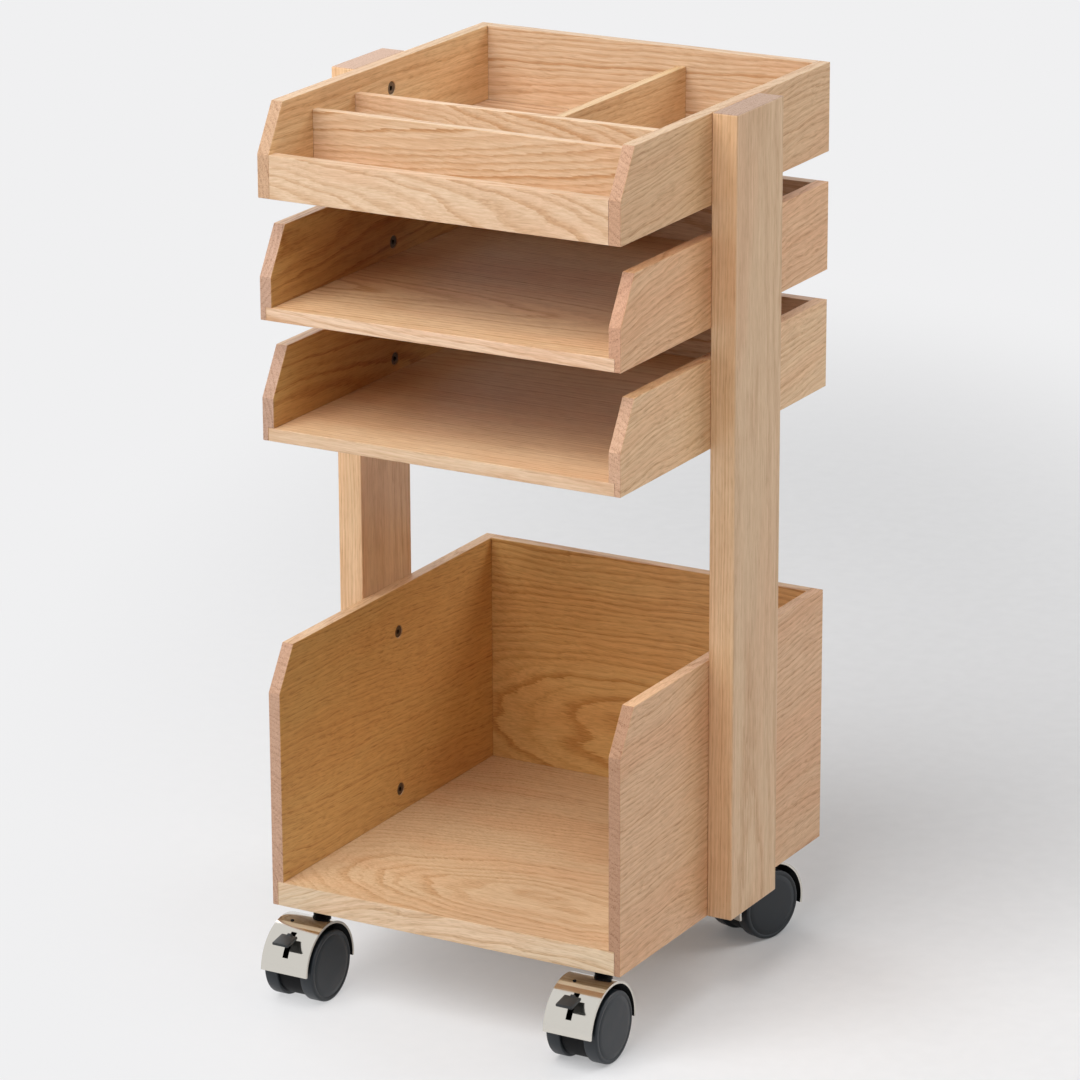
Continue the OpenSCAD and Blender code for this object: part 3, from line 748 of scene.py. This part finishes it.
class CART_OT_fasteners(bpy.types.Operator):
    """Finish the connector bolts, inserts, dowels and snap rings"""

    bl_idname = "cart.fasteners"
    bl_label = "Fasteners"

    def execute(self, context):
        given = context.scene.cart.casters
        steel = polished("burnished steel", given.bolt, 0.32, 0.15)
        brass = polished("turned brass", given.brass, 0.3, 0.1)
        finish_node("connector_bolts", steel)
        finish_node("post_insert_nuts", brass)
        finish_node("caster_insert_nuts", brass)
        finish_node("stem_retaining_rings", steel)
        finish_node("locating_dowels", moulded("turned beech", given.dowel, 0.6, 0.9, 0.1))
        return {"FINISHED"}


# ---- Casters ----

# Caster sizes in millimetres, as in the whole of this section. First a wheel's bore and its depth, its hub, rim
# wall, inner edge, tread corner and the dome of its cap
WHEEL_SIZES = (3.05, 5.0, 7.0, 4.0, 0.8, 1.8, 0.6)
WEB_SHARE = 0.7  # how deep the hollow between hub and rim goes, as a share of the wheel's width
GROOVE_INSETS = (3.2, 4.6)  # how far the groove's two edges lie inside the tread

# A hood's ends in degrees round the axle, from the front over the top: where it starts and how far it wraps
BRAKED_WRAP, PLAIN_WRAP = (2.5, 183), (-8, 200)
HOOD_SHEET = 2.0
STEM_HOLE, PEG_HOLE = 7.8, 1.55  # radii
PEG_AT, PEG_ASIDE = 78, 9.0  # degrees round the axle, and distance to the left of the middle
SLOT_ENDS, SLOT_HALF = (23, 59), 2.6

# The brake lever: its tilt at rest, then its pedal's start along it, and the pedal's own tilt
LEVER_TILT, PEDAL_PLACE, PEDAL_TILT = -54, (0, -32.6, 1.5), 63.6
LEVER_BAR = ((-2.1, -33.6, -2.5), (2.1, 1.0, 2.5))
PEDAL_PLATE = ((-7.5, -15.5, -2.4), (7.5, 0.0, 0.0))
PIVOT_BOSS = (0, 4.0, 4.2)  # its place along the lever, its radius and its width
CROSS_BAR = (13.5, 2.2)  # its place and radius; it is as wide as the whole lever


def centre_of(node):
    """The middle of a frame node's box."""
    low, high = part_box(node)
    return (low + high) / 2


def caster_place(caster):
    """Moves a shape from the first caster's place to another's, turned as that one stands at rest."""
    stem, ahead = centre_of(caster + "_stem"), centre_of(caster + "_axle") - centre_of(caster + "_stem")
    turn = Matrix.Rotation(math.atan2(ahead.x, -ahead.y), 4, "Z")
    return Matrix.Translation(stem) @ turn @ Matrix.Translation(-centre_of(CASTERS[0] + "_stem"))


def wheel_shape(side, groove):
    """A wheel of the first caster: hub, web, rim, rounded tread, and a domed cap with a groove round it."""
    low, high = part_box(CASTERS[0] + ("_wheel_right" if side > 0 else "_wheel_left"))
    inner = low.x if side > 0 else high.x
    centre = Vector((inner, (low.y + high.y) / 2, (low.z + high.z) / 2))
    radius, width = (high.z - low.z) / 2 / MM, (high.x - low.x) / MM
    bore, bore_depth, hub, rim_wall, edge, tread_corner, dome = WHEEL_SIZES
    face, rim, web = width - dome, radius - rim_wall, width * WEB_SHARE
    groove_outside, groove_inside = (radius - inset for inset in GROOVE_INSETS)
    profile = [(bore_depth, 0), (bore_depth, bore), (0, bore), (0, hub), (web, hub), (web, rim), (0, rim)]
    profile += [(0, radius - edge), (0.3 * edge, radius - 0.3 * edge), (edge, radius)]
    for step in range(9):
        turn = math.radians(90) * step / 8
        away = radius - tread_corner + tread_corner * math.cos(turn)
        profile.append((face - tread_corner + tread_corner * math.sin(turn), away))
    for depth, step in ((0, 0), (0.75, 0.25), (1, 0.5)):
        profile.append((face - groove * depth, groove_outside - step))
    for depth, step in ((1, 0.5), (0.75, 0.25), (0, 0)):
        profile.append((face - groove * depth, groove_inside + step))
    for share in (0.85, 0.7, 0.55, 0.4, 0.25, 0.1, 0.0):
        profile.append((face + dome * (1 - share**2), groove_inside * share))
    return spun(profile, centre, X * side, Z, 96)


class CART_OT_wheels(bpy.types.Operator):
    """Make the eight wheels"""

    bl_idname = "cart.wheels"
    bl_label = "Wheels"

    def execute(self, context):
        given = context.scene.cart.casters
        nylon = moulded("moulded charcoal nylon", given.wheel, 0.42, 0.5, 0.03, specular_ior_level=0.4)
        for caster in CASTERS:
            for side, sign in (("left", -1), ("right", 1)):
                node = f"{caster}_wheel_{side}"
                shape = wheel_shape(sign, given.groove_depth / MM)
                shape.transform(caster_place(caster))
                body = f"{caster}_{side}_wheel_body"
                piece(node + "_nylon", shape, nylon, body, "wheel_plastic", node, crease=50)
        return {"FINISHED"}


class CART_OT_hoods(bpy.types.Operator):
    """Make the four sheet-metal hoods, with their holes and brake slots"""

    bl_idname = "cart.hoods"
    bl_label = "Hoods"

    def execute(self, context):
        given = context.scene.cart.casters
        nickel = polished("polished nickel plate", given.nickel, 0.07, 0.08)
        # Painted shade: the hoods' insides are made black, standing in for the shade they lie in
        painted_shade_lining = moulded("hood inside painted shade black", given.housing, 0.55, 0.5, 0.03, specular_ior_level=0.15)
        for caster in CASTERS:
            low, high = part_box(CASTERS[0] + "_hood")
            axle, stem = centre_of(CASTERS[0] + "_axle"), centre_of(CASTERS[0] + "_stem")
            front_end, wrap = BRAKED_WRAP if caster in BRAKED else PLAIN_WRAP
            radius = high.z - axle.z

            def at(degrees, distance):
                """A point round the axle, with angles from the front over the top."""
                turn = math.radians(degrees)
                return axle + Vector((0, -math.cos(turn), math.sin(turn))) * distance

            shape = bmesh.new()
            count, start = 22, at(front_end, radius)
            places = [low.x + (high.x - low.x) * i / count - axle.x for i in range(count + 1)]
            points = [shape.verts.new(start + X * place) for place in places]
            edges = [shape.edges.new(pair) for pair in zip(points, points[1:])]
            bmesh.ops.spin(
                shape, geom=points + edges, cent=axle, axis=-X, dvec=(0, 0, 0), angle=math.radians(wrap),
                steps=72, use_duplicate=False,
            )
            bmesh.ops.recalc_face_normals(shape, faces=shape.faces)
            if shape.faces[0].normal.dot(shape.faces[0].calc_center_median() - axle) < 0:
                bmesh.ops.reverse_faces(shape, faces=shape.faces)
            hole = Vector((stem.x, stem.y, axle.z + math.sqrt(radius**2 - (stem.y - axle.y) ** 2)))
            punch(shape, hole, 14 * MM, round_planes(hole, Z, STEM_HOLE * MM, 32))
            peg = at(PEG_AT, radius) - X * PEG_ASIDE * MM
            through = at(PEG_AT, 1) - axle
            punch(shape, peg, 4 * MM, round_planes(peg, through, PEG_HOLE * MM, 16))
            if caster in BRAKED:
                middle = at(sum(SLOT_ENDS) / 2, radius)
                slot = [(axle + X * SLOT_HALF * MM, X), (axle - X * SLOT_HALF * MM, -X)]
                for degrees, sign in zip(SLOT_ENDS, (-1, 1)):
                    ahead = at(degrees + 90, 1) - axle
                    slot.append((at(degrees, radius), ahead * sign))
                punch(shape, middle, 17 * MM, slot)
            shape.transform(caster_place(caster))
            node = caster + "_hood"
            made = piece(node + "_plate", shape, nickel, caster + "_caster", "hood_chrome", node, crease=180)
            sheet = made.modifiers.new("sheet", "SOLIDIFY")
            sheet.thickness, sheet.offset, sheet.use_even_offset = HOOD_SHEET * MM, -1, True
            # The inner face of the sheet takes the black lining: painted shade inside the hood
            made.data.materials.append(painted_shade_lining)
            sheet.material_offset = 1
            rim = made.modifiers.new("rim", "BEVEL")
            rim.width, rim.segments = given.sheet_ease, 2
            rim.limit_method, rim.angle_limit = "ANGLE", math.radians(50)
            even_shading(made)
        return {"FINISHED"}


class CART_OT_stems_and_housings(bpy.types.Operator):
    """Finish the stems, housings, axles and brake pins"""

    bl_idname = "cart.stems_and_housings"
    bl_label = "Stems and housings"

    def execute(self, context):
        given = context.scene.cart.casters
        nylon = moulded("moulded black nylon", given.housing, 0.55, 0.5, 0.03, specular_ior_level=0.15)
        oxide = moulded("black oxide steel", given.black, 0.35, 0.4, 0.02, specular_ior_level=0.3)
        steel = polished("bright steel", given.nickel, 0.25, 0.1)
        for caster in CASTERS:
            finish_node(caster + "_housing", nylon)
            finish_node(caster + "_stem", oxide)
            finish_node(caster + "_axle", steel)
            if caster in BRAKED:
                finish_node(caster + "_brake_pin", steel)
        return {"FINISHED"}


class CART_OT_brakes(bpy.types.Operator):
    """Make the two brake levers with their pedals"""

    bl_idname = "cart.brakes"
    bl_label = "Brakes"

    def execute(self, context):
        given = context.scene.cart.casters
        nylon = moulded("moulded lever nylon", given.lever, 0.45, 0.5, 0.03, specular_ior_level=0.4)
        for caster in BRAKED:
            pivot = centre_of(CASTERS[0] + "_brake_pin")
            lever = Matrix.Translation(pivot) @ Matrix.Rotation(math.radians(LEVER_TILT), 4, "X")
            pedal = lever @ Matrix.Translation(Vector(PEDAL_PLACE) * MM)
            pedal = pedal @ Matrix.Rotation(math.radians(PEDAL_TILT), 4, "X")
            shape = bmesh.new()
            for place, (low, high) in ((lever, LEVER_BAR), (pedal, PEDAL_PLATE)):
                block = soften(box_shape(Vector(low) * MM, Vector(high) * MM), given.moulding_ease)
                block.transform(place)
                mesh = mesh_of("part", block)
                shape.from_mesh(mesh)
                bpy.data.meshes.remove(mesh)
            low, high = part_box(CASTERS[0] + "_brake_lever")
            for reach, radius, width in (PIVOT_BOSS, (*CROSS_BAR, (high.x - low.x) / MM)):
                place = lever @ Matrix.Translation(Y * -reach * MM) @ Matrix.Rotation(math.pi / 2, 4, "Y")
                bmesh.ops.create_cone(
                    shape, cap_ends=True, segments=32, radius1=radius * MM, radius2=radius * MM,
                    depth=width * MM, matrix=place,
                )
            shape.transform(caster_place(caster))
            node = caster + "_brake_lever"
            piece(node + "_nylon", shape, nylon, caster + "_brake", "lever_plastic", node)
        return {"FINISHED"}


# ---- Stage ----

# The ellipse on the floor round which its own light gives way to the backdrop colour, and where that happens.
# Inside it the floor still glows with a share of that colour, a tenth at least even under the cart: painted
# light that lifts the floor's shadows by place
ELLIPSE_MIDDLE, ELLIPSE_TURN, ELLIPSE_SIZE = (-0.08, 0.65, 0.0), 0.51, (0.6, 1.2, 1.0)
FADE_FROM, FADE_TO, LEAST_PAINTED_GLOW = 0.4, 1.35, 0.1


def seen_directly(put):
    """One where the camera, a shiny surface or a clear one sees a surface, and nought where it only lights."""
    seen = put("ShaderNodeLightPath").outputs
    direct = put(MATHS, [seen["Is Camera Ray"], seen["Is Glossy Ray"]], operation="MAXIMUM")
    return put(MATHS, [direct, seen["Is Transmission Ray"]], operation="MAXIMUM")


class CART_OT_stage(bpy.types.Operator):
    """Make the floor, the lamps, the light from all round, and the camera"""

    bl_idname = "cart.stage"
    bl_label = "Stage"

    def execute(self, context):
        given, scene = context.scene.cart.stage, context.scene
        scene.view_settings.view_transform = "Standard"

        # A pale floor, which gives way to the plain backdrop colour away from the cart; nearer in, the share of
        # that colour that it shows is painted light lifting its shadows
        material, tree, shader = new_material("pale floor", given.floor, roughness=0.75)
        put = partial(add, tree)
        place = put(COORDINATES).outputs["Object"]
        speck = put(NOISE, {"Vector": place, "Scale": 60.0, "Detail": 3.0})
        speck = put(RAMP, [speck, 0.3, 0.7, 0.985, 1.015])
        tint = put(VECTORS, {0: given.floor, "Scale": speck.outputs[0]}, operation="SCALE")
        fill(tree, shader, {"Base Color": tint})
        away = put(
            "ShaderNodeMapping",
            {
                "Vector": place, "Location": ELLIPSE_MIDDLE, "Rotation": (0.0, 0.0, ELLIPSE_TURN),
                "Scale": ELLIPSE_SIZE,
            },
            vector_type="TEXTURE",
        )
        away = put(VECTORS, [away], operation="LENGTH").outputs["Value"]
        away = put(RAMP, [away, FADE_FROM, FADE_TO, LEAST_PAINTED_GLOW, 1.0], **SMOOTH)
        share = put(MATHS, [away, seen_directly(put)], operation="MULTIPLY")
        plain = put("ShaderNodeEmission", {"Color": rgba(given.backdrop), "Strength": 1.0})
        mixed = put("ShaderNodeMixShader", [share, shader, plain])
        fill(tree, tree.nodes["Material Output"], {"Surface": mixed})
        ground = bmesh.new()
        bmesh.ops.create_circle(ground, cap_ends=True, segments=96, radius=14)
        mesh = mesh_of("floor", ground)
        mesh.materials.append(material)
        floor = bpy.data.objects.new("floor", mesh)
        scene.collection.objects.link(floor)

        # Light from all round, and the same backdrop where the camera or a shiny part sees past the floor
        world = bpy.data.worlds.new("studio")
        world.use_nodes = True
        scene.world = world
        tree = world.node_tree
        put = partial(add, tree)
        direct = seen_directly(put)
        soft = put("ShaderNodeBackground", {"Color": (1, 1, 1, 1), "Strength": given.fill})
        plain = put("ShaderNodeBackground", {"Color": rgba(given.backdrop), "Strength": 1.0})
        mixed = put("ShaderNodeMixShader", [direct, soft, plain])
        fill(tree, tree.nodes["World Output"], {"Surface": mixed})

        middle = (CAD_BOX[0] + CAD_BOX[1]) / 2
        lamps = (
            ("key lamp", (-0.3, -1.6, 2.6), 2.6, given.key, False),
            ("right lamp", (2.0, -0.5, 2.3), 1.6, given.right, True),
            ("left lamp", (-1.4, -2.6, 0.9), 1.4, given.left, False),
            ("back right lamp", (1.6, 1.6, 2.0), 1.6, given.back_right, True),
            ("back left lamp", (-1.9, 1.3, 1.9), 1.6, given.back_left, True),
        )
        for name, place, size, watts, mirrored in lamps:
            light = bpy.data.lights.new(name, "AREA")
            light.shape, light.size, light.energy = "DISK", size, watts
            lamp = bpy.data.objects.new(name, light)
            lamp.location = place
            lamp.visible_glossy = mirrored
            lamp.rotation_euler = (middle - Vector(place)).to_track_quat("-Z", "Y").to_euler()
            scene.collection.objects.link(lamp)

        camera = bpy.data.cameras.new("camera")
        camera.lens, camera.sensor_width, camera.shift_x = given.lens, 36, given.shift
        camera.clip_end = 60
        eye = bpy.data.objects.new("camera", camera)
        turn = Matrix.Rotation(given.camera_turn, 3, "Z")
        turn = turn @ Matrix.Rotation(math.pi / 2 - given.camera_tilt, 3, "X")
        turn = turn @ Matrix.Rotation(given.camera_roll, 3, "Z")
        eye.matrix_world = Matrix.Translation(given.camera_place) @ turn.to_4x4()
        scene.collection.objects.link(eye)
        scene.camera = eye
        return {"FINISHED"}


OPERATORS = (
    CART_OT_posts, CART_OT_side_boards, CART_OT_backs_and_floors, CART_OT_top_tray_fittings, CART_OT_fasteners,
    CART_OT_wheels, CART_OT_hoods, CART_OT_stems_and_housings, CART_OT_brakes, CART_OT_stage,
)


class CART_PT_panel(bpy.types.Panel):
    """Lists the cart's settings and pieces"""

    bl_idname = "CART_PT_panel"
    bl_label = "Book cart"
    bl_space_type = "VIEW_3D"
    bl_region_type = "UI"
    bl_category = "Cart"

    def draw(self, context):
        for operator in OPERATORS:
            self.layout.operator(operator.bl_idname)
        for group in (context.scene.cart.wood, context.scene.cart.casters, context.scene.cart.stage):
            column = self.layout.column()
            for key in group.__annotations__:
                column.prop(group, key)


CLASSES = (WoodSettings, CasterSettings, StageSettings, CartSettings, *OPERATORS, CART_PT_panel)


def register():
    for made in CLASSES:
        bpy.utils.register_class(made)
    bpy.types.Scene.cart = bpy.props.PointerProperty(type=CartSettings)


def unregister():
    del bpy.types.Scene.cart
    for made in reversed(CLASSES):
        bpy.utils.unregister_class(made)


def main():
    register()
    for operator in OPERATORS:
        group, name = operator.bl_idname.split(".")
        getattr(getattr(bpy.ops, group), name)()


if __name__ == "__main__":
    main()
